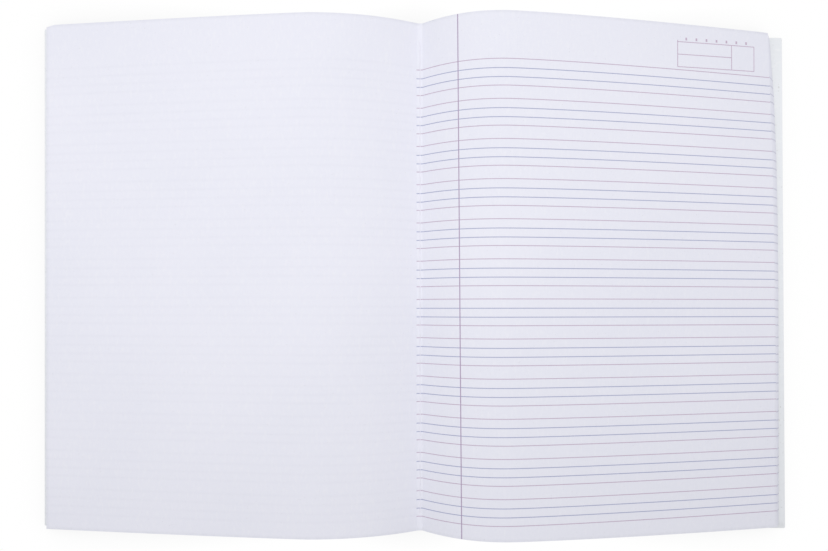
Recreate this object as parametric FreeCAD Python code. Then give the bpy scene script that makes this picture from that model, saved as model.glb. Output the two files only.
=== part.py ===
import FreeCAD, Part
import math
import os

# Open thread-sewn notebook lying flat on its soft card cover, in millimetres.
# X runs across the spread, +Y towards the head of the pages, +Z up.
# The origin is on the surface it lies on, under the middle of the spine.
V = FreeCAD.Vector

# Page size and paper
page_h = 240.0           # head to tail
leaves_per_side = 46     # leaves on each side of the middle sheet
leaf_t = 0.09            # one leaf of writing paper
paper_gap = 0.2          # air between a cover panel and the lowest leaf

# Card cover
card_t = 0.4
spine_w = 8.0            # strip between the two cover creases
spine_shoulder_w = 1.2   # where the strip climbs from each crease over the thread
crease_gap = 0.1         # slit that stands for the crease line
front_panel_w = 176.1    # crease to outer edge
back_panel_w = 177.1     # the back panel reaches further past its leaves
panel_corner_r = 0.6
back_head_pull = 1.6     # the back panel is trimmed this much narrower at its head
back_trim_skew = 1.8     # the back panel's outer edge sits this much lower
back_tail_spare = 1.4    # and it is trimmed this much longer at its tail

# Sewing through the fold
thread_d = 0.35
thread_gap = 0.05        # thread to paper, and thread to card
needle_hole_d = 0.5
thread_sides = 8         # flats round the thread and its holes, to keep the mesh light
stitch_len = 8.0
seam_margin = 8.0        # head or tail to the nearest needle hole

# Sewn folds, stacked on the spine strip
fold_x = 1.1             # the middle fold leans to the right
fold_flat_w = 2.2        # floor of the gutter, where the thread lies
fold_foot_w = 3.0        # underside of the outermost fold
fold_stack_h = 8.65      # springy folds stand higher than pressed leaves
rise_power = 2.25        # how quickly the leaves climb out of the gutter
crest_pack_t = 6.5       # leaves under the crest, with some air between them

# Left arch of leaves
left_crest_x = 50.0
left_crest_z = 20.0
left_reach = 176.8       # spine middle to the top leaf's outer edge
left_creep = 2.1         # the lowest leaf reaches this much past the top one
left_fall_power = 1.12

# Right arch of leaves, pulled in more at the head than at the tail
right_crest_x = 40.5
right_crest_z = 24.0
right_reach_head = 170.0
right_reach_tail = 174.45
right_creep = 3.4        # a higher arch slants the stack of leaf edges more
right_fall_power = 1.25
right_trim_skew = 1.2    # the right leaves' outer edges sit this much lower

# Leaf edges
corner_cut_x = 3.6       # knocked corners at the head
corner_cut_y = 2.2
profile_points = 9       # points along each half of an arch
gutter_crowding = 1.5    # how much closer those points lie in the gutter

# Worked-out places
head_y = (page_h + back_trim_skew) / 2
tail_y = head_y - page_h
pack_edge_t = leaves_per_side * leaf_t
spine_bottom = thread_d + 2 * thread_gap
spine_top = spine_bottom + card_t
fold_top = spine_top + fold_stack_h
edge_bottom = card_t + paper_gap
edge_top = edge_bottom + pack_edge_t
crease_x = spine_w / 2 + crease_gap


def arch(start, crest, end, rise, fall):
    """Points of an arch that climbs from start to crest and falls to end."""
    points = []
    for i in range(profile_points):
        u = (i / (profile_points - 1)) ** gutter_crowding
        x = start[0] + (crest[0] - start[0]) * u
        z = start[1] + (crest[1] - start[1]) * (1 - (1 - u) ** rise)
        points.append((x, z))
    for i in range(1, profile_points):
        v = i / (profile_points - 1)
        x = crest[0] + (end[0] - crest[0]) * v
        z = crest[1] + (end[1] - crest[1]) * v ** fall
        points.append((x, z))
    return points


def smooth_edge(points):
    """One smooth edge through the points."""
    curve = Part.BSplineCurve()
    curve.interpolate(points)
    return curve.toShape()


def pack_section(side, y, skew, reach, creep, crest_x, crest_z, fall):
    """Closed outline of one side's leaves, in the plane of its head or tail."""
    def place(x, z):
        return V(side * x, y - skew * x / reach, z)

    fold = side * fold_x
    top_start = (fold + fold_flat_w / 2, fold_top)
    foot_start = (fold + fold_foot_w / 2, spine_top)
    top_end = (reach, edge_top)
    foot_end = (reach + creep, edge_bottom)
    top = arch(top_start, (crest_x, crest_z), top_end, rise_power, fall)
    foot = arch(foot_start, (crest_x, crest_z - crest_pack_t), foot_end, rise_power, fall)
    top = [place(x, z) for x, z in top]
    foot = [place(x, z) for x, z in foot]
    gutter_top = place(fold, fold_top)
    gutter_foot = place(fold, spine_top)
    edges = [
        Part.makeLine(gutter_top, top[0]),
        smooth_edge(top),
        Part.makeLine(top[-1], foot[-1]),
        smooth_edge(list(reversed(foot))),
        Part.makeLine(foot[0], gutter_foot),
        Part.makeLine(gutter_foot, gutter_top),
    ]
    return Part.Wire(edges)


def pack_side(side, skew, reach_head, reach_tail, creep, crest_x, crest_z, fall):
    """All the leaves on one side of the fold, as one solid."""
    head = pack_section(side, head_y, skew, reach_head, creep, crest_x, crest_z, fall)
    tail = pack_section(side, tail_y, skew, reach_tail, creep, crest_x, crest_z, fall)
    return Part.makeLoft([head, tail], True, True)


def corner_cutter(side, reach, creep, skew):
    """Three-sided prism that knocks off the head corner of the leaves."""
    outer = side * (reach + creep)
    head = head_y - skew
    corner_x = outer + side * corner_cut_x
    corner_y = head + corner_cut_y
    low_y = head - 2 * corner_cut_y
    low_x = outer - side * 2 * corner_cut_x
    points = [V(low_x, corner_y, 0), V(corner_x, corner_y, 0), V(corner_x, low_y, 0)]
    face = Part.Face(Part.makePolygon(points + points[:1]))
    return face.extrude(V(0, 0, max(left_crest_z, right_crest_z)))


def needle_places():
    """Y of each needle hole along the fold."""
    length = page_h - 2 * seam_margin
    count = max(1, round(length / stitch_len))
    return [tail_y + seam_margin + length * i / count for i in range(count + 1)]


def rod(diameter, start, end):
    """Thread-like rod between two points, with flats instead of a round."""
    axis = end - start
    turn = FreeCAD.Rotation(V(0, 0, 1), axis)
    points = []
    for i in range(thread_sides):
        angle = 2 * math.pi * (i + 0.5) / thread_sides
        across = V(math.cos(angle), math.sin(angle), 0) * (diameter / 2)
        points.append(start + turn.multVec(across))
    return Part.Face(Part.makePolygon(points + points[:1])).extrude(axis)


def needle_holes(bottom, top):
    """Cutters for the needle holes between two heights."""
    return [rod(needle_hole_d, V(fold_x, y, bottom), V(fold_x, y, top)) for y in needle_places()]


def make_page_block():
    """The sewn leaves: left and right arches joined at their folds."""
    left = pack_side(-1, 0, left_reach, left_reach, left_creep,
                     left_crest_x, left_crest_z, left_fall_power)
    right = pack_side(1, right_trim_skew, right_reach_head, right_reach_tail, right_creep,
                      right_crest_x, right_crest_z, right_fall_power)
    block = left.fuse(right).removeSplitter()
    cutters = [corner_cutter(-1, left_reach, left_creep, 0),
               corner_cutter(1, right_reach_head, right_creep, right_trim_skew)]
    cutters += needle_holes(spine_top - card_t, fold_top + card_t)
    return block.cut(cutters)


def make_panel(side, width, skew, head_pull, tail_spare):
    """One cover panel, flat on the surface, from its crease to its outer edge."""
    inner = side * crease_x
    outer = side * (crease_x + width)
    points = [V(inner, head_y, 0), V(outer - side * head_pull, head_y - skew, 0),
              V(outer, tail_y - skew - tail_spare, 0), V(inner, tail_y, 0)]
    face = Part.Face(Part.makePolygon(points + points[:1]))
    panel = face.extrude(V(0, 0, card_t))
    corners = [e for e in panel.Edges
               if abs(e.tangentAt(e.FirstParameter).z) > 0.9
               and abs(e.CenterOfMass.x) > crease_x + width / 2]
    return panel.makeFillet(panel_corner_r, corners)


def make_cover_spine():
    """The strip of the cover between its creases, bowed up over the thread."""
    edge = spine_w / 2
    flat = edge - spine_shoulder_w
    outside = [(-edge, 0), (-flat, spine_bottom), (flat, spine_bottom), (edge, 0)]
    inside = [(x, z + card_t) for x, z in reversed(outside)]
    points = [V(x, tail_y, z) for x, z in outside + inside]
    strip = Part.Face(Part.makePolygon(points + points[:1])).extrude(V(0, page_h, 0))
    return strip.cut(needle_holes(spine_bottom - card_t, spine_top + card_t))


def make_seam_thread():
    """Sewing thread: a run in the gutter, a run outside, a leg in each hole."""
    r = thread_d / 2
    places = needle_places()
    low = thread_gap + r
    high = fold_top + thread_gap + r
    runs = [rod(thread_d, V(fold_x, places[0] - r, z), V(fold_x, places[-1] + r, z))
            for z in (low, high)]
    legs = [rod(thread_d, V(fold_x, y, low), V(fold_x, y, high)) for y in places]
    return runs[0].fuse(runs[1:] + legs).removeSplitter()


def main():
    os.makedirs("parts", exist_ok=True)
    nodes = {
        "page_block": make_page_block(),
        "front_cover": make_panel(-1, front_panel_w, 0, 0, 0),
        "back_cover": make_panel(1, back_panel_w, back_trim_skew, back_head_pull,
                                 back_tail_spare),
        "cover_spine": make_cover_spine(),
        "seam_thread": make_seam_thread(),
    }
    for name, shape in nodes.items():
        shape = shape.Solids[0] if len(shape.Solids) == 1 else shape
        box = shape.BoundBox
        print(name, "solids", len(shape.Solids), "valid", shape.isValid(),
              "volume %.0f" % shape.Volume, "z %.2f to %.2f" % (box.ZMin, box.ZMax),
              "x %.1f to %.1f" % (box.XMin, box.XMax))
        shape.exportStep(os.path.join("parts", name + ".step"))


main()
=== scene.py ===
# %% [markdown]
# # An open exercise notebook
# Here we dress the CAD model of a school notebook that lies open at its middle sheet.
# The CAD part is the frame: it says where the covers, the spine and the pack of leaves are.
# Blender adds what the frame can't carry: every single sheet of paper, the printed ruling,
# the stitches in the fold, and the look of paper, ink, thread and card.
# All lengths are metres. X runs across the spread, +Y to the head of the page, +Z is up.

# %% Load the frame
import math

import bmesh
import bpy
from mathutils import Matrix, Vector


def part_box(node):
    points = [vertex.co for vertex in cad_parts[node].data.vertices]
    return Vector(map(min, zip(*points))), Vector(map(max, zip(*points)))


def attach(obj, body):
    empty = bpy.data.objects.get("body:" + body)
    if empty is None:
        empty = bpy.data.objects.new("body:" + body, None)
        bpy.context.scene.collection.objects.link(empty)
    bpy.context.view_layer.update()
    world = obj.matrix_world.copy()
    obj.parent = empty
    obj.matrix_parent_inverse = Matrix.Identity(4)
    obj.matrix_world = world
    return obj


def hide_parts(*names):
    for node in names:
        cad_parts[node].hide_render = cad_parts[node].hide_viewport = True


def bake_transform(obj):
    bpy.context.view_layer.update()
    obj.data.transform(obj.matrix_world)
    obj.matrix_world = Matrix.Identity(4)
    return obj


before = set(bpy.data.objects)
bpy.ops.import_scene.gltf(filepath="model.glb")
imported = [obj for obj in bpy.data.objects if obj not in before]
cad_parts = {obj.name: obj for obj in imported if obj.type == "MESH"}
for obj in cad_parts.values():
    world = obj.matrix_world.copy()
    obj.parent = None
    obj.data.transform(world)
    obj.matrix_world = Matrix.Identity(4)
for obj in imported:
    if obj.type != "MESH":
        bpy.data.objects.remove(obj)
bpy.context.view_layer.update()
mm = 0.001
print("frame nodes:", sorted(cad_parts))

# %% [markdown]
# ## Sizes
# Whatever the frame can tell is read from it, so the scene follows the CAD part.
# The curve of the open leaves is a rule with a few numbers. On the real notebook the leaves
# spring out of the sewn fold, climb to a crest and fall in a long slope to the outer edge.
# The same numbers shape the CAD pack, so sheets and pack agree.

# %% Sizes of the pack of sheets
spine_low, spine_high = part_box("cover_spine")
tail_y, head_y = spine_low[1], spine_high[1]
page_h = head_y - tail_y

sheets = 46                         # folded sheets, so 46 leaves on each side
paper_t = 0.075 * mm                # less than a leaf's share of the pack: neighbours never touch

arch = {
    "Fold X": 1.1 * mm,             # the middle fold leans to the right
    "Fold top": 9.5 * mm,           # height of the gutter's floor
    "Fold foot": 0.85 * mm,         # underside of the outermost fold
    "Fold top width": 2.2 * mm,     # width of that floor
    "Fold foot width": 3.0 * mm,
    "Rise power": 2.25,             # how quickly the leaves climb out of the gutter
    "Crest pack": 6.5 * mm,         # thickness under the crest
    "Left crest X": 50.0 * mm,
    "Left crest Z": 20.0 * mm,
    "Left fall power": 1.12,
    "Left reach": 176.8 * mm,       # spine middle to the top leaf's outer edge
    "Left creep": 2.1 * mm,         # the lowest leaf reaches this much past the top one
    "Right crest X": 40.5 * mm,
    "Right crest Z": 24.0 * mm,
    "Right fall power": 1.25,
    "Right reach": 174.45 * mm,
    "Right creep": 3.4 * mm,
    "Right pull at head": 4.45 * mm,  # the right leaves are pulled in at the head
    "Pull power": 2.2,              # that pull dies out down the page,
    "Lowest pull power": 5.0,       # and sooner in the lowest leaf
    "Edge foot": 0.6 * mm,
    "Edge top": 4.74 * mm,
}
right_drop = 1.2 * mm               # the right pages lie this much lower at their outer edge
page_slope = right_drop / arch["Right reach"]
print("page height %.1f mm, head at %.1f mm" % (page_h / mm, head_y / mm))

# %% [markdown]
# ## Small helpers for node trees
# Geometry Nodes and materials are both node trees, and both are full of arithmetic.
# One could place each Math node by hand. It reads better to write the sums as sums:
# a Number stands for a wire in a tree, and + - * / on it add the Math nodes.

# %% A number inside a node tree
def feed(tree, value, socket):
    """Wires a value into a socket, or sets it there when it is a plain number."""
    value = value.socket if isinstance(value, Number) else value
    if isinstance(value, bpy.types.NodeSocket):
        tree.links.new(value, socket)
    else:
        socket.default_value = value


class Number:
    """A number in a node tree. Sums and products with it add Math nodes."""

    def __init__(self, tree, socket):
        self.tree = tree
        self.socket = socket

    def math(self, operation, *others):
        node = self.tree.nodes.new("ShaderNodeMath")
        node.operation = operation
        for value, socket in zip((self, *others), node.inputs):
            feed(self.tree, value, socket)
        return Number(self.tree, node.outputs[0])

    def __add__(self, other):
        return self.math("ADD", other)

    def __sub__(self, other):
        return self.math("SUBTRACT", other)

    def __mul__(self, other):
        return self.math("MULTIPLY", other)

    def __truediv__(self, other):
        return self.math("DIVIDE", other)

    def __pow__(self, other):
        return self.math("POWER", other)

    def __rsub__(self, other):
        return self * -1 + other

    __radd__ = __add__
    __rmul__ = __mul__

    def clamped(self):
        return self.math("MAXIMUM", 0).math("MINIMUM", 1)

    def above(self, other):
        return self.math("GREATER_THAN", other)


def blend_numbers(low, high, share):
    """low where share is 0, high where it is 1."""
    return low + (high - low) * share

# %% Helpers that add nodes and read their sockets
def socket_of(sockets, name):
    """The socket of that name that is in use, as some nodes carry hidden twins."""
    return next(s for s in sockets if s.name == name and s.enabled)


def add_node(tree, kind, inputs=None, **settings):
    """Adds a node, with its settings and whatever feeds its inputs."""
    node = tree.nodes.new(kind)
    for key, value in settings.items():
        setattr(node, key, value)
    for name, value in (inputs or {}).items():
        feed(tree, value, socket_of(node.inputs, name))
    return node


def number(node, name):
    """One output of a node, as a Number."""
    return Number(node.id_data, socket_of(node.outputs, name))


def split(tree, vector):
    """The x, y and z of a vector, as three Numbers."""
    node = add_node(tree, "ShaderNodeSeparateXYZ", {"Vector": vector})
    return [Number(tree, output) for output in node.outputs]


def join(tree, x, y, z):
    """A vector socket from three numbers."""
    node = add_node(tree, "ShaderNodeCombineXYZ", {"X": x, "Y": y, "Z": z})
    return node.outputs[0]


SOCKETS = {float: "NodeSocketFloat", int: "NodeSocketInt"}


def new_tree(name, inputs, outputs):
    """A Geometry Nodes tree with named inputs. A plain number is an input's default."""
    tree = bpy.data.node_groups.new(name, "GeometryNodeTree")
    for label, value in inputs.items():
        kind = value if isinstance(value, str) else SOCKETS[type(value)]
        socket = tree.interface.new_socket(label, in_out="INPUT", socket_type=kind)
        if not isinstance(value, str):
            socket.default_value = value
    for label, kind in outputs.items():
        tree.interface.new_socket(label, in_out="OUTPUT", socket_type=kind)
    given = tree.nodes.new("NodeGroupInput")
    result = tree.nodes.new("NodeGroupOutput")
    return tree, given, result

# %% [markdown]
# ## The rule of an open leaf
# Every leaf follows one curve: flat in the floor of the fold, up to its crest, down to its edge.
# *Level* is 0 for the lowest leaf and 1 for the top one. *Up the page* is 0 at the tail and 1 at
# the head, because the right leaves are pulled in a little at the head.
# The rule lives in two node groups. One spreads a leaf sideways, for the sheets themselves.
# The other gives the height over any place, so the print can lie on the paper as well.

# %% Node group: the places that a leaf's curve passes through
def leaf_stations(given, right, level, up):
    """Start, crest and outer end of a leaf, measured outwards, with their heights."""
    def by_side(name):
        return blend_numbers(number(given, "Left " + name), number(given, "Right " + name), right)

    def by_level(lowest, top):
        return blend_numbers(number(given, lowest), number(given, top), level)

    side = right * 2 - 1
    fold_x = side * number(given, "Fold X")
    half_width = by_level("Fold foot width", "Fold top width") * 0.5
    pull = number(given, "Right pull at head") * up ** by_level("Lowest pull power", "Pull power")
    lowness = 1 - level
    return {
        "side": side,
        "fold x": fold_x,
        "half width": half_width,
        "start x": fold_x + half_width,
        "start z": by_level("Fold foot", "Fold top"),
        "crest x": by_side("crest X"),
        "crest z": by_side("crest Z") - number(given, "Crest pack") * lowness,
        "fall": by_side("fall power"),
        "end x": by_side("reach") + by_side("creep") * lowness - pull * right,
        "end z": by_level("Edge foot", "Edge top"),
    }


FLOAT = "NodeSocketFloat"
FLOOR_SHARE = 1 / 32                # share of each side's points that lie in the fold's floor
GUTTER_CROWDING = 1.5               # how much closer the points lie near the gutter


def make_spread_group():
    """Along a leaf, from -1 at the left edge to 1 at the right edge, to X."""
    tree, given, result = new_tree(
        "leaf_spread", {"Along": FLOAT, "Level": FLOAT, "Up the page": FLOAT, **arch},
        {"X": FLOAT})
    along = number(given, "Along")
    at = leaf_stations(given, along.above(0), number(given, "Level"), number(given, "Up the page"))
    out = along.math("ABSOLUTE")
    in_floor = (out / FLOOR_SHARE).clamped()
    rising = ((out - FLOOR_SHARE) / (0.5 - FLOOR_SHARE)).clamped() ** GUTTER_CROWDING
    falling = (out * 2 - 1).clamped()
    place = at["fold x"] + at["half width"] * in_floor
    place = place + (at["crest x"] - at["start x"]) * rising
    place = place + (at["end x"] - at["crest x"]) * falling
    feed(tree, place * at["side"], result.inputs["X"])
    return tree


leaf_spread = make_spread_group()

# %% Node group: the height of a leaf over any place
def make_height_group():
    """The height of a leaf's top face over X, and where its right edge is."""
    tree, given, result = new_tree(
        "leaf_height", {"X": FLOAT, "Level": FLOAT, "Up the page": FLOAT, **arch},
        {"Z": FLOAT, "Right edge X": FLOAT})
    x, level, up = (number(given, name) for name in ("X", "Level", "Up the page"))
    at = leaf_stations(given, x.above(number(given, "Fold X")), level, up)
    out = x * at["side"]
    rising = ((out - at["start x"]) / (at["crest x"] - at["start x"])).clamped()
    falling = ((out - at["crest x"]) / (at["end x"] - at["crest x"])).clamped()
    climb = 1 - (1 - rising) ** number(given, "Rise power")
    height = at["start z"] + (at["crest z"] - at["start z"]) * climb
    height = height + (at["end z"] - at["crest z"]) * falling ** at["fall"]
    feed(tree, height, result.inputs["Z"])
    pull = number(given, "Right pull at head") * up ** number(given, "Pull power")
    feed(tree, number(given, "Right reach") - pull, result.inputs["Right edge X"])
    return tree


leaf_height = make_height_group()


def use_group(tree, group, inputs):
    """Puts a node group to work inside a tree."""
    node = tree.nodes.new("GeometryNodeGroup")
    node.node_tree = group
    for name, value in inputs.items():
        feed(tree, value, node.inputs[name])
    return node


print("leaf rule:", len(leaf_spread.nodes), "and", len(leaf_height.nodes), "nodes")

# %% [markdown]
# ## Running a tree
# The exporter needs plain meshes. So a tree runs once, on an object of its own, its result
# becomes an ordinary mesh, and the modifier comes off again.

# %% What the trees below share
def numbered_copies(tree, shape, count, name, value_of):
    """Copies of a shape, all in one place. Each carries a value worked out from its number."""
    row = add_node(tree, "GeometryNodeMeshLine", {
        "Count": count, "Offset": (0, 0, 0)}, mode="OFFSET")
    order = Number(tree, tree.nodes.new("GeometryNodeInputIndex").outputs[0])
    marked = add_node(tree, "GeometryNodeStoreNamedAttribute", {
        "Geometry": row.outputs["Mesh"], "Name": name, "Value": value_of(order)},
        data_type="FLOAT", domain="POINT")
    copies = add_node(tree, "GeometryNodeInstanceOnPoints", {
        "Points": marked.outputs[0], "Instance": shape.outputs["Mesh"]})
    real = add_node(tree, "GeometryNodeRealizeInstances", {"Geometry": copies.outputs[0]})
    read = add_node(tree, "GeometryNodeInputNamedAttribute", {"Name": name}, data_type="FLOAT")
    return real.outputs[0], number(read, "Attribute")


def position(tree):
    """The x, y and z of a point, before it moves."""
    return split(tree, tree.nodes.new("GeometryNodeInputPosition").outputs[0])


def finish_tree(tree, given, result, geometry):
    """The end of every tree: real geometry, in the material that is asked for."""
    real = add_node(tree, "GeometryNodeRealizeInstances", {"Geometry": geometry})
    skin = add_node(tree, "GeometryNodeSetMaterial", {
        "Geometry": real.outputs[0], "Material": number(given, "Material")})
    feed(tree, skin.outputs[0], result.inputs[0])
    return tree

# %% Turn a tree's result into a plain piece
def grow(name, tree, inputs, drawing=None):
    """Runs a tree with these inputs and keeps its result as a plain mesh object."""
    piece = bpy.data.objects.new(name, drawing or bpy.data.meshes.new(name + "_start"))
    bpy.context.scene.collection.objects.link(piece)
    modifier = piece.modifiers.new(name, "NODES")
    modifier.node_group = tree
    for item in tree.interface.items_tree:
        if item.in_out == "INPUT" and item.name in inputs:
            modifier[item.identifier] = inputs[item.name]
    evaluated = piece.evaluated_get(bpy.context.evaluated_depsgraph_get())
    mesh = bpy.data.meshes.new_from_object(evaluated)
    mesh.name = name
    piece.modifiers.remove(modifier)
    piece.data = mesh
    corners = [v.co for v in mesh.vertices]
    low = [min(c[i] for c in corners) / mm for i in range(3)]
    high = [max(c[i] for c in corners) / mm for i in range(3)]
    print("%s: %d faces, %s to %s mm" % (
        name, len(mesh.polygons),
        " ".join("%.1f" % v for v in low), " ".join("%.1f" % v for v in high)))
    return piece

# %% [markdown]
# ## Paper
# Writing paper is not one white. It is a cool white with a faint cloudiness, short pale fibres
# and tiny dark specks, and it is dull: light spreads on it rather than shines.
# The top sheet also lets the ruling of its other side through, as weak soft bands.
# Cut edges and corners pick up a little grey from handling.
# Noise on Object coordinates gives the clouds and fibres at their real size.
# Each sheet carries an attribute, *page place*: across, down and level on its own page. With it
# the material knows where the ruling runs, also on the cut edges of the leaves underneath.

# %% Colour helpers
def linear(r, g, b):
    """A colour as one reads it on a screen, 0 to 255, as Blender wants it."""
    def channel(value):
        value /= 255
        return value / 12.92 if value <= 0.04045 else ((value + 0.055) / 1.055) ** 2.4
    return (channel(r), channel(g), channel(b), 1)


def new_material(name, roughness, specular):
    """A material with its Principled shader, ready for colour, roughness and bump."""
    material = bpy.data.materials.new(name)
    material.use_nodes = True
    tree = material.node_tree
    shader = tree.nodes["Principled BSDF"]
    shader.inputs["Roughness"].default_value = roughness
    shader.inputs["Specular IOR Level"].default_value = specular
    return material, tree, shader


def noise(tree, scale, detail=2.0, stretch=(1, 1, 1), offset=(0, 0, 0)):
    """Noise on the piece's own coordinates, from 0 to 1. scale counts features per metre."""
    place = add_node(tree, "ShaderNodeTexCoord")
    mapping = add_node(tree, "ShaderNodeMapping", {
        "Vector": place.outputs["Object"], "Scale": stretch, "Location": offset})
    node = add_node(tree, "ShaderNodeTexNoise", {
        "Vector": mapping.outputs[0], "Scale": scale, "Detail": detail})
    return number(node, "Fac") if "Fac" in node.outputs else Number(tree, node.outputs[0])


def tint(tree, base, other, share):
    """base turning into the other colour as share goes from 0 to 1."""
    node = add_node(tree, "ShaderNodeMix", data_type="RGBA")
    feed(tree, share, node.inputs[0])
    feed(tree, base, node.inputs[6])
    feed(tree, other, node.inputs[7])
    return node.outputs[2]


def bump(tree, shader, height, distance):
    """Raises the surface a little where height is more."""
    node = add_node(tree, "ShaderNodeBump", {"Height": height, "Distance": distance})
    node.inputs["Strength"].default_value = 1.0
    tree.links.new(node.outputs[0], shader.inputs["Normal"])


def spots(value, threshold, softness):
    """1 where value is over the threshold, with a soft rim."""
    return ((value - threshold) / softness).clamped()

# %% The rows of the ruling, as a number field
first_line = 21.2 * mm              # head of the page to the first line
group_pitch = 18.1 * mm             # four lines and a wider gap
line_groups = 12
group_lead_in = 3 * mm              # a group is counted from a little before its first line
outer_spacing = 12.1 * mm           # first to fourth line of a group
inner_start = 4.2 * mm              # first to second line
inner_spacing = 4.05 * mm           # second to third line
line_offsets = (0.0, inner_start, inner_start + inner_spacing, outer_spacing)
marks_start = first_line - 2 * mm   # nothing of the ruling shows above this
marks_end = page_h - 5 * mm         # or below this


def nearness_to_ruling(down, half_width):
    """1 on a ruled line, falling to 0 at half_width from it. down is from the head."""
    from_first = down - (first_line - group_lead_in)
    in_group = (from_first / group_pitch).math("FRACT") * group_pitch - group_lead_in
    nearest = None
    for offset in line_offsets:
        distance = (in_group - offset).math("ABSOLUTE")
        nearest = distance if nearest is None else nearest.math("MINIMUM", distance)
    within = down.above(marks_start) * (1 - down.above(marks_end))
    return (1 - nearest / half_width).clamped() * within

# %% The two paper materials
paper_white = linear(238, 238, 248)
paper_shade = linear(231, 232, 243)
fibre_white = linear(246, 246, 250)
speck_grey = linear(176, 172, 172)
edge_grey = linear(190, 193, 202)
ruling_grey = linear(150, 150, 176)
page_wear = 1.6 * mm                # how far handling has greyed a page's edges
leaf_slip = 0.5 * mm                # how much the leaves' ruling differs from leaf to leaf
TONE_SHUFFLE = 137.13               # these two turn a level into a number that looks random
SLIP_SHUFFLE = 71.7


def page_place(tree):
    """Across, down and level of this spot on its own page."""
    node = add_node(tree, "ShaderNodeAttribute", attribute_name="page_place")
    return split(tree, node.outputs["Vector"])


def paper_colour(tree):
    """Cool white with faint clouds, pale fibres and a few dark specks."""
    clouds = noise(tree, scale=14, detail=3.0)
    colour = tint(tree, paper_white, paper_shade, clouds)
    threads = noise(tree, scale=900, detail=3.0, stretch=(1.0, 0.35, 1.0))
    fibres = spots(threads, threshold=0.5, softness=0.3)
    colour = tint(tree, colour, fibre_white, fibres * 0.28)
    grit = noise(tree, scale=1500, detail=1.0, offset=(3.1, 1.7, 0))
    specks = spots(grit, threshold=0.74, softness=0.04)
    return tint(tree, colour, speck_grey, specks * 0.22)


def make_page_paper():
    """The top sheet: show-through on the left page, wear along its edges."""
    material, tree, shader = new_material("page_paper", 0.82, 0.25)
    across, down, _ = page_place(tree)
    colour = paper_colour(tree)
    on_right = across.above(0)
    show_through = nearness_to_ruling(down, 1.0 * mm) * (1 - on_right)
    patchy = noise(tree, scale=60, detail=2.0)
    colour = tint(tree, colour, ruling_grey, show_through * patchy * 0.05)
    reach = blend_numbers(arch["Left reach"], arch["Right reach"], on_right)
    to_edge = (reach - across.math("ABSOLUTE")).math("MINIMUM", down)
    to_edge = to_edge.math("MINIMUM", page_h - down)
    wear = (1 - to_edge / page_wear).clamped() * noise(tree, scale=350, detail=3.0)
    colour = tint(tree, colour, edge_grey, wear * 0.35)
    feed(tree, colour, shader.inputs["Base Color"])
    grain = noise(tree, scale=1100, detail=4.0) * 0.6 + noise(tree, scale=260, detail=3.0) * 0.4
    feed(tree, 0.74 + grain * 0.16, shader.inputs["Roughness"])
    bump(tree, shader, grain, 0.03 * mm)
    return material


def make_leaf_edge_paper():
    """The sheets underneath: each its own tone, with ruling marks on the cut edges."""
    material, tree, shader = new_material("leaf_edge_paper", 0.85, 0.2)
    _, down, level = page_place(tree)
    own_tone = (level * TONE_SHUFFLE).math("FRACT")
    colour = tint(tree, paper_colour(tree), edge_grey, own_tone * 0.2)
    slip = ((level * SLIP_SHUFFLE).math("FRACT") - 0.5) * leaf_slip
    marks = nearness_to_ruling(down + slip, 0.3 * mm)
    colour = tint(tree, colour, ruling_grey, marks * 0.75)
    feed(tree, colour, shader.inputs["Base Color"])
    grain = noise(tree, scale=1400, detail=3.0)
    feed(tree, 0.78 + grain * 0.14, shader.inputs["Roughness"])
    bump(tree, shader, grain, 0.02 * mm)
    return material


page_paper = make_page_paper()
leaf_edge_paper = make_leaf_edge_paper()
print("paper materials:", page_paper.name, leaf_edge_paper.name)

# %% [markdown]
# ## Forty-six folded sheets
# The real thing is a stack of sheets, folded once together and sewn through the fold.
# One could model a solid block and draw lines on its edges. But near the edges the eye finds
# each leaf, and the outer edge is slanted, because the top sheets have further to go over the
# arch and end sooner.
# So each sheet is real: a thin closed slab, bent by the leaf rule at its own level.
# A Mesh Cube with many points along X is a ready slab. It is instanced once for each sheet,
# and Set Position bends every point by the rule.

# %% Geometry Nodes tree: folded sheets
EDGE_POWER = 12                     # leaves lie unevenly only close to their outer edges
HEAD_SHARE = 0.99                   # points further up the page than this are its head edge
FLAT_NORMAL = 0.5                   # faces that look up or down more than this shade smooth
CRISP_ANGLE = 1.0                   # but edges bent more than this, in radians, stay crisp


def place_on_page(tree, x, up, corner_cut):
    """Y for a spot on a page: the right pages drop outwards and corners are knocked off."""
    right_x = x.math("MAXIMUM", 0)
    return tail_y + page_h * up - right_x * page_slope - corner_cut


def corner_drop(given, along, x, up):
    """How much lower the knocked corners make a spot on the head edge."""
    left_edge = arch["Left reach"] + arch["Left creep"]
    right_edge = arch["Right reach"] + arch["Right creep"] - arch["Right pull at head"]
    lowest_edge = blend_numbers(left_edge, right_edge, along.above(0))
    cut, drop = number(given, "Corner cut"), number(given, "Corner drop")
    past_cut = (x.math("ABSOLUTE") - lowest_edge + cut).math("MAXIMUM", 0)
    return past_cut * up.above(HEAD_SHARE) * drop / cut


def shade_sheets(tree, geometry):
    """Smooth broad faces, crisp cut edges."""
    normal_z = split(tree, tree.nodes.new("GeometryNodeInputNormal").outputs[0])[2]
    smooth = add_node(tree, "GeometryNodeSetShadeSmooth", {
        "Geometry": geometry, "Selection": normal_z.math("ABSOLUTE").above(FLAT_NORMAL),
        "Shade Smooth": True}, domain="FACE")
    bend = number(tree.nodes.new("GeometryNodeInputMeshEdgeAngle"), "Unsigned Angle")
    crisp = add_node(tree, "GeometryNodeSetShadeSmooth", {
        "Geometry": smooth.outputs[0], "Selection": bend.above(CRISP_ANGLE),
        "Shade Smooth": False}, domain="EDGE")
    return crisp.outputs[0]


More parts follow.
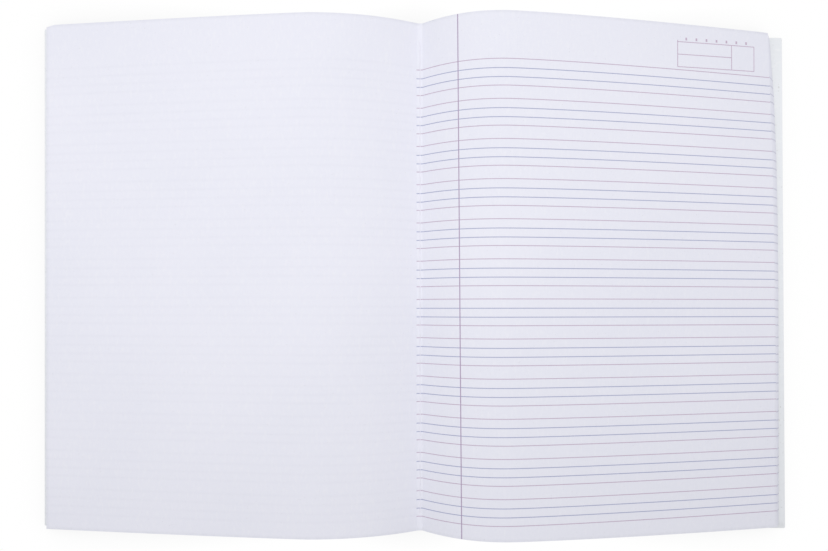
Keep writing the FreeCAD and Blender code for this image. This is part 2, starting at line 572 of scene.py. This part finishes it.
def make_sheet_tree():
    tree, given, result = new_tree("folded_sheets", {
        "Sheets": sheets - 1, "First level": 1, "Levels": sheets, "Paper thickness": paper_t,
        "Points along": 65, "Points up": 9, "Uneven edge": 0.12 * mm, "Seed": 7,
        "Corner cut": 3.6 * mm, "Corner drop": 2.2 * mm, "Material": "NodeSocketMaterial",
    }, {"Geometry": "NodeSocketGeometry"})
    slab = add_node(tree, "GeometryNodeMeshCube", {
        "Size": (2, 1, 1), "Vertices X": number(given, "Points along"),
        "Vertices Y": number(given, "Points up"), "Vertices Z": 2})
    stack, level = numbered_copies(
        tree, slab, number(given, "Sheets"), "level",
        lambda order: (order + number(given, "First level")) / number(given, "Levels"))

    along, up, thick = position(tree)
    up = up + 0.5
    spread = number(use_group(tree, leaf_spread, {
        "Along": along, "Level": level, "Up the page": up}), "X")
    height = number(use_group(tree, leaf_height, {
        "X": spread, "Level": level, "Up the page": up}), "Z")
    sheet_number = (level * number(given, "Levels")).math("ROUND")
    uneven = number(add_node(tree, "FunctionNodeRandomValue", {
        "Min": -1.0, "Max": 1.0, "ID": sheet_number, "Seed": number(given, "Seed")},
        data_type="FLOAT"), "Value")
    near_edge = along.math("ABSOLUTE") ** EDGE_POWER
    x = spread + uneven * number(given, "Uneven edge") * near_edge * along.math("SIGN")
    y = place_on_page(tree, x, up, corner_drop(given, along, x, up))
    z = height + (thick - 0.5) * number(given, "Paper thickness")
    # The page place is worked out from the flat slab, so it is stored before the bend.
    placed = add_node(tree, "GeometryNodeStoreNamedAttribute", {
        "Geometry": stack, "Name": "page_place",
        "Value": join(tree, spread, (1 - up) * page_h, level)},
        data_type="FLOAT_VECTOR", domain="POINT")
    bent = add_node(tree, "GeometryNodeSetPosition", {
        "Geometry": placed.outputs[0], "Position": join(tree, x, y, z)})
    return finish_tree(tree, given, result, shade_sheets(tree, bent.outputs[0]))


sheet_tree = make_sheet_tree()

# %% Grow the sheets
folded_sheets = grow("folded_sheets", sheet_tree, {
    "Sheets": sheets - 1, "First level": 1, "Levels": sheets, "Material": leaf_edge_paper})
middle_sheet = grow("middle_sheet", sheet_tree, {
    "Sheets": 1, "First level": sheets, "Levels": sheets, "Points along": 129, "Points up": 25,
    "Uneven edge": 0.0, "Material": page_paper})

# %% [markdown]
# ## Printed ruling
# The right page carries twelve groups of four lines: the outer two of a group in a mauve ink,
# the inner two in a blue one. They start just left of the fold and run off the outer edge.
# Lines could be painted by the material, but a baked picture of a whole page is too coarse for
# a line a third of a millimetre wide. So each line is a strip of ink, a few hundredths thick,
# laid on the paper by the same leaf rule. A Mesh Line counts the lines, and their order in it
# gives group and place.

# %% Ink
def make_ink(name, colour, faded):
    """Offset ink on paper: slightly uneven, duller where the paper drank it."""
    material, tree, shader = new_material(name, 0.7, 0.3)
    uneven = noise(tree, scale=700, detail=3.0)
    feed(tree, tint(tree, colour, faded, uneven), shader.inputs["Base Color"])
    feed(tree, 0.6 + uneven * 0.2, shader.inputs["Roughness"])
    bump(tree, shader, uneven, 0.004 * mm)
    return material


mauve_ink = make_ink("mauve_ink", linear(188, 170, 192), linear(204, 189, 208))
blue_ink = make_ink("blue_ink", linear(159, 163, 195), linear(177, 181, 209))
margin_ink = make_ink("margin_ink", linear(166, 146, 176), linear(184, 166, 194))
box_ink = make_ink("box_ink", linear(188, 168, 190), linear(208, 192, 210))

# %% Geometry Nodes tree: ruled lines
line_width = 0.37 * mm
ink_thick = 0.03 * mm
ink_lift = 0.008 * mm               # middle of the ink over the paper
fold_crossing = 1.7 * mm            # the ruling starts this much left of the fold
fold_end_drop = 0.9 * mm            # the ruling is printed a little askew: lower at the fold,
outer_end_rise = 0.4 * mm           # higher at the outer edge,
head_end_drop = 1.3 * mm            # and it droops again in the head's outer corner
FOLD_CROWDING = 1.4                 # how much closer a line's points lie near the fold
DROOP_POWER = 3.2                   # how quickly the droop at the head dies out down the page
ROUNDING_ROOM = 0.01                # keeps a whole number from being rounded down by one


def make_ruling_tree():
    tree, given, result = new_tree("ruled_lines", {
        "Groups": line_groups, "Lines in a group": 2, "First line": first_line,
        "Group pitch": group_pitch, "Line spacing": outer_spacing,
        "Line width": line_width, "Ink thickness": ink_thick, "Ink lift": ink_lift,
        "Fold crossing": fold_crossing, "Fold end drop": fold_end_drop,
        "Outer end rise": outer_end_rise, "Head end drop": head_end_drop,
        "Points along": 121, "Material": "NodeSocketMaterial",
    }, {"Geometry": "NodeSocketGeometry"})
    strip = add_node(tree, "GeometryNodeMeshCube", {
        "Size": (1, 1, 1), "Vertices X": number(given, "Points along"),
        "Vertices Y": 2, "Vertices Z": 2})
    per_group = number(given, "Lines in a group")

    def down_for(order):
        group = (order / per_group + ROUNDING_ROOM).math("FLOOR")
        line = order - group * per_group
        group_down = number(given, "First line") + group * number(given, "Group pitch")
        return group_down + line * number(given, "Line spacing")

    strips, down = numbered_copies(
        tree, strip, number(given, "Groups") * per_group, "down", down_for)

    along, across, thick = position(tree)
    up = 1 - down / page_h
    edge = number(use_group(tree, leaf_height, {"Level": 1.0, "Up the page": up}), "Right edge X")
    crossing = number(given, "Fold crossing") - arch["Fold X"]
    out = along + 0.5
    x = (edge + crossing) * out ** FOLD_CROWDING - crossing
    height = number(use_group(tree, leaf_height, {
        "X": x, "Level": 1.0, "Up the page": up}), "Z")
    askew = blend_numbers(number(given, "Fold end drop") * -1, number(given, "Outer end rise"), out)
    askew = askew - number(given, "Head end drop") * out * out * up ** DROOP_POWER
    y = place_on_page(tree, x, up, 0) + askew + across * number(given, "Line width")
    z = height + number(given, "Ink lift") + thick * number(given, "Ink thickness")
    laid = add_node(tree, "GeometryNodeSetPosition", {
        "Geometry": strips, "Position": join(tree, x, y, z)})
    return finish_tree(tree, given, result, laid.outputs[0])


ruling_tree = make_ruling_tree()

# %% Grow the ruling
outer_lines = grow("outer_lines", ruling_tree, {"Material": mauve_ink})
inner_lines = grow("inner_lines", ruling_tree, {
    "First line": first_line + inner_start, "Line spacing": inner_spacing,
    "Material": blue_ink})

# %% [markdown]
# ## Margin line, header box and day marks
# The rest of the print is a drawing: one upright margin line, a box at the head of the page
# with two rows and a wide cell, and a row of seven marks for the days above it.
# It is drawn flat, as plain edges in page coordinates. A second tree turns each edge into a
# strip of ink and lays it on the paper, so the drawing bends with the leaf.

# %% Geometry Nodes tree: a drawing laid on the page
def make_drawing_tree():
    tree, given, result = new_tree("page_drawing", {
        "Geometry": "NodeSocketGeometry", "Line width": 0.35 * mm, "Ink thickness": ink_thick,
        "Ink lift": ink_lift * 2, "Step": 1.5 * mm, "Material": "NodeSocketMaterial",
    }, {"Geometry": "NodeSocketGeometry"})
    strokes = add_node(tree, "GeometryNodeMeshToCurve", {"Mesh": given.outputs["Geometry"]})
    fine = add_node(tree, "GeometryNodeResampleCurve", {
        "Curve": strokes.outputs[0], "Length": number(given, "Step")}, mode="LENGTH")
    upright = add_node(
        tree, "GeometryNodeSetCurveNormal", {"Curve": fine.outputs[0]}, mode="Z_UP")
    profile = add_node(tree, "GeometryNodeCurvePrimitiveQuadrilateral", {
        "Width": number(given, "Line width"), "Height": number(given, "Ink thickness")})
    strips = add_node(tree, "GeometryNodeCurveToMesh", {
        "Curve": upright.outputs[0], "Profile Curve": profile.outputs[0], "Fill Caps": True})
    x, drawn_y, thick = position(tree)
    up = 1 + drawn_y / page_h
    height = number(use_group(tree, leaf_height, {
        "X": x, "Level": 1.0, "Up the page": up}), "Z")
    y = place_on_page(tree, x, up, 0)
    z = height + number(given, "Ink lift") + thick
    laid = add_node(tree, "GeometryNodeSetPosition", {
        "Geometry": strips.outputs[0], "Position": join(tree, x, y, z)})
    flat = add_node(tree, "GeometryNodeSetShadeSmooth", {
        "Geometry": laid.outputs[0], "Shade Smooth": False}, domain="FACE")
    return finish_tree(tree, given, result, flat.outputs[0])


drawing_tree = make_drawing_tree()

# %% Draw and lay the margin, the box and the marks
def drawing(name, strokes):
    """A flat drawing: each stroke goes from (x, down) to (x, down) on the right page."""
    mesh = bpy.data.meshes.new(name + "_drawing")
    points = [(x, -down, 0) for stroke in strokes for x, down in stroke]
    edges = [(i, i + 1) for i in range(0, len(points), 2)]
    mesh.from_pydata(points, edges, [])
    return mesh


margin_x_head, margin_x_tail = 18.0 * mm, 19.8 * mm
margin_end = 0.1 * mm               # the margin line stops this short of the paper's edge
margin_stroke = ((margin_x_head, margin_end), (margin_x_tail, page_h - margin_end))
margin_line = grow("margin_line", drawing_tree, {
    "Line width": 0.42 * mm, "Ink lift": ink_lift * 3, "Material": margin_ink,
}, drawing("margin_line", [margin_stroke]))

box_left, box_right = 122.2 * mm, 162.4 * mm
box_top, box_bottom = 8.5 * mm, 20.3 * mm
box_middle = (box_top + box_bottom) / 2
divider_share = 0.7                 # where the upright line stands, from left to right
box_divider = box_left + divider_share * (box_right - box_left)
box_overshoot = 0.8 * mm            # the left side sticks out at the top
box_rise = 0.8 * mm                 # the box is printed askew: this much higher at its right


def on_box(x, down):
    """A spot of the box, with the box's own tilt."""
    return (x, down - box_rise * (x - box_left) / (box_right - box_left))


box_strokes = [
    (box_left, box_top, box_right, box_top),
    (box_left, box_bottom, box_right, box_bottom),
    (box_left, box_middle, box_divider, box_middle),
    (box_left, box_top - box_overshoot, box_left, box_bottom),
    (box_divider, box_top, box_divider, box_bottom),
    (box_right, box_top, box_right, box_bottom),
]
header_box = grow("header_box", drawing_tree, {
    "Line width": 0.36 * mm, "Material": box_ink,
}, drawing("header_box", [(on_box(a, b), on_box(c, d)) for a, b, c, d in box_strokes]))

days = 7
mark_pitch = 5.26 * mm
mark_foot = box_top - 0.8 * mm      # the marks stand a little above the box
mark_head = mark_foot - 1.3 * mm
first_mark = box_left + 4.4 * mm
mark_places = [first_mark + i * mark_pitch for i in range(days)]
day_marks = grow("day_marks", drawing_tree, {
    "Line width": 0.85 * mm, "Material": box_ink,
}, drawing("day_marks", [(on_box(x, mark_head), on_box(x, mark_foot)) for x in mark_places]))

# %% [markdown]
# ## Sewing through the fold
# The sheets are sewn together along the fold with white thread. One run of stitches lies in
# the gutter and one outside on the spine, and they dip into every needle hole.
# A sewing thread is two or three yarns twisted together, so the profile is a three-lobed star
# that turns as it goes along. The dips repeat from hole to hole, which a formula gives best.

# %% Thread
def make_thread_material():
    """White spun cotton: a soft sheen and fine hairs."""
    material, tree, shader = new_material("white_thread", 0.75, 0.3)
    hairs = noise(tree, scale=3000, detail=4.0)
    colour = tint(tree, linear(252, 251, 255), linear(238, 237, 246), hairs)
    feed(tree, colour, shader.inputs["Base Color"])
    shader.inputs["Sheen Weight"].default_value = 0.2
    bump(tree, shader, hairs, 0.02 * mm)
    return material


white_thread = make_thread_material()

# %% Geometry Nodes tree: stitches
thread_d = 0.35 * mm
thread_gap = 0.05 * mm              # air on each side of the thread
outside_z = thread_gap + thread_d / 2
inside_z = arch["Fold top"] + outside_z
hole_margin = 8.0 * mm              # tail to the nearest needle hole
LOBE_VALLEY = 0.72                  # how deep the grooves between the yarns go
LEG_SHARE = 0.9                     # a leg in its hole is this much of the thread's width
DIP_POWER = 5                       # how close to its holes a stitch starts to dip


def stitch_run(tree, given, profile, level_z, into_paper):
    """One straight run of twisted thread that dips into every hole."""
    start_y, count = number(given, "First hole Y"), number(given, "Stitches")
    end_y = start_y + count * number(given, "Stitch length")
    line = add_node(tree, "GeometryNodeCurvePrimitiveLine", {
        "Start": join(tree, number(given, "X"), start_y, level_z),
        "End": join(tree, number(given, "X"), end_y, level_z)})
    fine = add_node(tree, "GeometryNodeResampleCurve", {
        "Curve": line.outputs[0],
        "Count": count * number(given, "Points in a stitch") + 1}, mode="COUNT")
    share = number(tree.nodes.new("GeometryNodeSplineParameter"), "Factor")
    stitch = share * count
    from_hole = (stitch * math.pi).math("SINE").math("ABSOLUTE")
    dip = (1 - from_hole) ** DIP_POWER * number(given, "Dip") * into_paper
    dipped = add_node(tree, "GeometryNodeSetPosition", {
        "Geometry": fine.outputs[0], "Offset": join(tree, 0, 0, dip)})
    turned = add_node(tree, "GeometryNodeSetCurveTilt", {
        "Curve": dipped.outputs[0],
        "Tilt": stitch * number(given, "Twists in a stitch") * (2 * math.pi / 3)})
    run = add_node(tree, "GeometryNodeCurveToMesh", {
        "Curve": turned.outputs[0], "Profile Curve": profile, "Fill Caps": True})
    return run.outputs[0]


def make_stitch_tree():
    tree, given, result = new_tree("stitches", {
        "First hole Y": tail_y + hole_margin, "Stitches": 28, "Stitch length": 8.0 * mm,
        "X": arch["Fold X"], "Inside Z": inside_z, "Outside Z": outside_z,
        "Thread diameter": thread_d, "Dip": 0.2 * mm, "Twists in a stitch": 9.0,
        "Points in a stitch": 40, "Material": "NodeSocketMaterial",
    }, {"Geometry": "NodeSocketGeometry"})
    radius = number(given, "Thread diameter") * 0.5
    inside, outside = number(given, "Inside Z"), number(given, "Outside Z")
    lobes = add_node(tree, "GeometryNodeCurveStar", {
        "Points": 3, "Inner Radius": radius * LOBE_VALLEY, "Outer Radius": radius})
    round_lobes = add_node(tree, "GeometryNodeResampleCurve", {
        "Curve": lobes.outputs[0], "Count": 12}, mode="COUNT").outputs[0]
    outside_run = stitch_run(tree, given, round_lobes, outside, 1)
    inside_run = stitch_run(tree, given, round_lobes, inside, -1)
    leg = add_node(tree, "GeometryNodeMeshCylinder", {
        "Vertices": 8, "Radius": radius * LEG_SHARE, "Depth": inside - outside})
    first_leg = join(tree, number(given, "X"), number(given, "First hole Y"),
                     (inside + outside) * 0.5)
    holes = add_node(tree, "GeometryNodeMeshLine", {
        "Count": number(given, "Stitches") + 1, "Start Location": first_leg,
        "Offset": join(tree, 0, number(given, "Stitch length"), 0)}, mode="OFFSET")
    legs = add_node(tree, "GeometryNodeInstanceOnPoints", {
        "Points": holes.outputs[0], "Instance": leg.outputs["Mesh"]})
    together = tree.nodes.new("GeometryNodeJoinGeometry")
    for piece in (legs.outputs[0], outside_run, inside_run):
        tree.links.new(piece, together.inputs[0])
    return finish_tree(tree, given, result, together.outputs[0])


stitches = grow("stitches", make_stitch_tree(), {"Material": white_thread})

# %% [markdown]
# ## Cover card
# The cover is one piece of soft card, in the CAD part as two panels and the strip of the spine.
# The panels are flat and their shape is right, so they stay and get a finish: a pale card,
# a little brighter and less blue than the pages, with short fibres and slightly rubbed edges.
# The side that faces down is the outside. It was never seen, so it stays plain: the same card
# with a smoother coat.

# %% Card material on the frame's cover pieces
cover_low, cover_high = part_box("back_cover")
front_reach = -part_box("front_cover")[0][0]
card_wear = 1.2 * mm                # how far in from its edges the card is rubbed


def make_cover_card():
    material, tree, shader = new_material("cover_card", 0.7, 0.3)
    clouds = noise(tree, scale=25, detail=3.0)
    colour = tint(tree, linear(241, 243, 247), linear(234, 237, 241), clouds)
    threads = noise(tree, scale=500, detail=3.0, stretch=(0.4, 1.0, 1.0))
    fibres = spots(threads, threshold=0.52, softness=0.25)
    colour = tint(tree, colour, linear(248, 249, 250), fibres * 0.4)
    grit = noise(tree, scale=900, detail=1.0, offset=(0.7, 2.2, 0))
    specks = spots(grit, threshold=0.72, softness=0.05)
    colour = tint(tree, colour, linear(168, 166, 158), specks * 0.4)
    x, y, _ = split(tree, add_node(tree, "ShaderNodeTexCoord").outputs["Object"])
    reach = blend_numbers(front_reach, cover_high[0], x.above(0))
    to_edge = (reach - x.math("ABSOLUTE")).math("MINIMUM", page_h / 2 - y.math("ABSOLUTE"))
    wear = (1 - to_edge / card_wear).clamped() * noise(tree, scale=300, detail=3.0)
    colour = tint(tree, colour, linear(218, 221, 224), wear * 0.5)
    feed(tree, colour, shader.inputs["Base Color"])
    normal = add_node(tree, "ShaderNodeVectorTransform", {
        "Vector": add_node(tree, "ShaderNodeNewGeometry").outputs["Normal"]},
        vector_type="NORMAL", convert_from="WORLD", convert_to="OBJECT")
    facing_down = (split(tree, normal.outputs[0])[2] * -1).above(FLAT_NORMAL)
    grain = noise(tree, scale=800, detail=4.0)
    feed(tree, 0.66 + grain * 0.16 - facing_down * 0.22, shader.inputs["Roughness"])
    bump(tree, shader, grain, 0.03 * mm)
    return material


cover_card = make_cover_card()
for name in ("front_cover", "back_cover", "cover_spine"):
    for material_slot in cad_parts[name].material_slots:
        material_slot.material = cover_card
print("cover card on panels and spine")

# %% [markdown]
# ## Creases
# Between a panel and the spine the real card is only creased, so it doesn't stop there.
# The frame has a slit a tenth of a millimetre wide, because its panels turn on their own.
# A narrow strip closes it.

# %% Crease strips
spine_edge = spine_high[0]
panel_edge = cover_low[0]
card_top = cover_high[2]
crease_steps = 6
tuck = 0.02 * mm                    # how far a strip reaches into its neighbours


def make_crease(name, side):
    """A closed strip of card across the slit, in a few narrow steps."""
    mesh = bpy.data.meshes.new(name)
    bm = bmesh.new()
    width = panel_edge - spine_edge + 2 * tuck
    section = ((tail_y, 0), (head_y, 0), (head_y, card_top), (tail_y, card_top))
    rings = []
    for i in range(crease_steps + 1):
        x = side * (spine_edge - tuck + width * i / crease_steps)
        rings.append([bm.verts.new((x, y, z)) for y, z in section])
    for one, two in zip(rings, rings[1:]):
        for i in range(4):
            bm.faces.new((one[i], one[(i + 1) % 4], two[(i + 1) % 4], two[i]))
    bm.faces.new(rings[0])
    bm.faces.new(rings[-1])
    bmesh.ops.recalc_face_normals(bm, faces=bm.faces)
    bm.to_mesh(mesh)
    bm.free()
    mesh.materials.append(cover_card)
    piece = bpy.data.objects.new(name, mesh)
    bpy.context.scene.collection.objects.link(piece)
    print(name, "is %.2f mm wide" % (width / mm))
    return piece


front_crease = make_crease("front_crease", -1)
back_crease = make_crease("back_crease", 1)

# %% [markdown]
# ## Which piece moves with which
# Sheets, print and stitches belong to the pages, which stay put. The panels of the cover turn
# in their creases.

# %% Ride and replace
for piece in (folded_sheets, middle_sheet, outer_lines, inner_lines, margin_line, header_box,
              day_marks, stitches):
    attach(piece, "pages")
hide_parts("page_block")
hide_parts("page_block")
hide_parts("seam_thread")
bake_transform(front_crease)
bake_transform(back_crease)

# %% [markdown]
# ## Floor, light and camera
# The notebook lies on a plain white floor. Soft light comes from all round, and most of it from
# one long softbox above, set towards the left and the head of the page. The camera looks down
# from close by, through a wide lens.
# To the camera the floor is clear, apart from a painted shade close round the notebook: a tint
# worked out from how much sky the notebook hides, not a cast shadow. So the plain white of the
# world shows behind it. Other rays meet matt white, which throws light back on the edges of the
# leaves. Rays shorter than a millimetre pass: those come from the outside of the cover, which
# would be black from below without them.

# %% Rays that show what lies behind
def add_seen(tree):
    """A Light Path node, and 1 for rays that show things: straight, mirrored or through glass."""
    path = tree.nodes.new("ShaderNodeLightPath")
    seen = Number(tree, path.outputs["Is Camera Ray"])
    for ray in ("Is Glossy Ray", "Is Transmission Ray"):
        seen = seen.math("MAXIMUM", Number(tree, path.outputs[ray]))
    return path, seen

# %% Floor
SHADE_DEPTH = 0.22                  # how dark the painted shade makes the floor where the notebook hides the sky
SHADE_REACH = 16 * mm               # how far from the notebook the painted shade goes
TOUCH = 1 * mm                      # rays shorter than this come from what lies on the floor
FLOOR_SIZE = 4.0                    # from its middle to each side
FLOOR_Z = -0.05 * mm
FLOOR_WHITE = 0.86


def make_floor():
    """A wide sheet just under the notebook, clear to the camera but for a painted shade close round
    it.
    """
    mesh = bpy.data.meshes.new("floor")
    signs = ((-1, -1), (1, -1), (1, 1), (-1, 1))
    corners = [(x * FLOOR_SIZE, y * FLOOR_SIZE, FLOOR_Z) for x, y in signs]
    mesh.from_pydata(corners, [], [(0, 1, 2, 3)])
    floor = bpy.data.objects.new("floor", mesh)
    bpy.context.scene.collection.objects.link(floor)
    material = bpy.data.materials.new("floor")
    material.use_nodes = True
    tree = material.node_tree
    tree.nodes.clear()
    path, seen = add_seen(tree)
    hidden_sky = add_node(tree, "ShaderNodeAmbientOcclusion", {"Distance": SHADE_REACH})
    open_share = Number(tree, hidden_sky.outputs["AO"])
    # painted shade: to the camera the floor is tinted darker by how much sky the notebook hides
    shade = 1 - seen * SHADE_DEPTH * (1 - open_share)
    clear = tree.nodes.new("ShaderNodeBsdfTransparent")
    feed(tree, shade, clear.inputs["Color"])
    matt = add_node(tree, "ShaderNodeBsdfDiffuse", {
        "Color": (FLOOR_WHITE, FLOOR_WHITE, FLOOR_WHITE, 1)})
    back = Number(tree, tree.nodes.new("ShaderNodeNewGeometry").outputs["Backfacing"])
    touching = Number(tree, path.outputs["Ray Length"]).math("LESS_THAN", TOUCH)
    passes = seen.math("MAXIMUM", back).math("MAXIMUM", touching)
    choose = add_node(tree, "ShaderNodeMixShader", {"Fac": passes})
    tree.links.new(matt.outputs[0], choose.inputs[1])
    tree.links.new(clear.outputs[0], choose.inputs[2])
    output = tree.nodes.new("ShaderNodeOutputMaterial")
    tree.links.new(choose.outputs[0], output.inputs["Surface"])
    mesh.materials.append(material)
    return floor


floor = make_floor()

# %% World and lamp
def make_world(strength):
    """Even soft light, and plain white behind everything for the camera."""
    world = bpy.data.worlds.new("studio")
    bpy.context.scene.world = world
    world.use_nodes = True
    tree = world.node_tree
    tree.nodes.clear()
    _, seen = add_seen(tree)
    glow = add_node(tree, "ShaderNodeBackground", {"Color": (1, 1, 1, 1)})
    feed(tree, blend_numbers(strength, 1.0, seen), glow.inputs["Strength"])
    output = tree.nodes.new("ShaderNodeOutputWorld")
    tree.links.new(glow.outputs[0], output.inputs["Surface"])


def soft_lamp(name, place, aim, width, depth, power):
    """A long softbox that looks at a spot."""
    lamp = bpy.data.lights.new(name, "AREA")
    lamp.shape = "RECTANGLE"
    lamp.size, lamp.size_y = width, depth
    lamp.energy = power
    obj = bpy.data.objects.new(name, lamp)
    obj.location = place
    obj.rotation_euler = (Vector(aim) - Vector(place)).to_track_quat("-Z", "Y").to_euler()
    bpy.context.scene.collection.objects.link(obj)


make_world(strength=0.44)
soft_lamp("head_softbox", place=(-0.2, 0.09, 0.5), aim=(-0.2, 0.09, 0),
          width=1.5, depth=0.25, power=2.95)

# %% Camera
camera_place = (-6.35 * mm, -11.87 * mm, 300 * mm)
camera_lean = -0.9                  # degrees, to one side


def make_camera():
    """Above the spread, a little to the left of its middle and towards its tail."""
    lens_data = bpy.data.cameras.new("camera")
    lens_data.sensor_width = 36
    lens_data.lens = 26.69
    lens_data.shift_y = 0.0343
    lens_data.clip_start = 0.01
    camera = bpy.data.objects.new("camera", lens_data)
    camera.location = camera_place
    camera.rotation_euler = (0, math.radians(camera_lean), 0)
    bpy.context.scene.collection.objects.link(camera)
    bpy.context.scene.camera = camera


make_camera()
bpy.context.scene.view_settings.view_transform = "Standard"
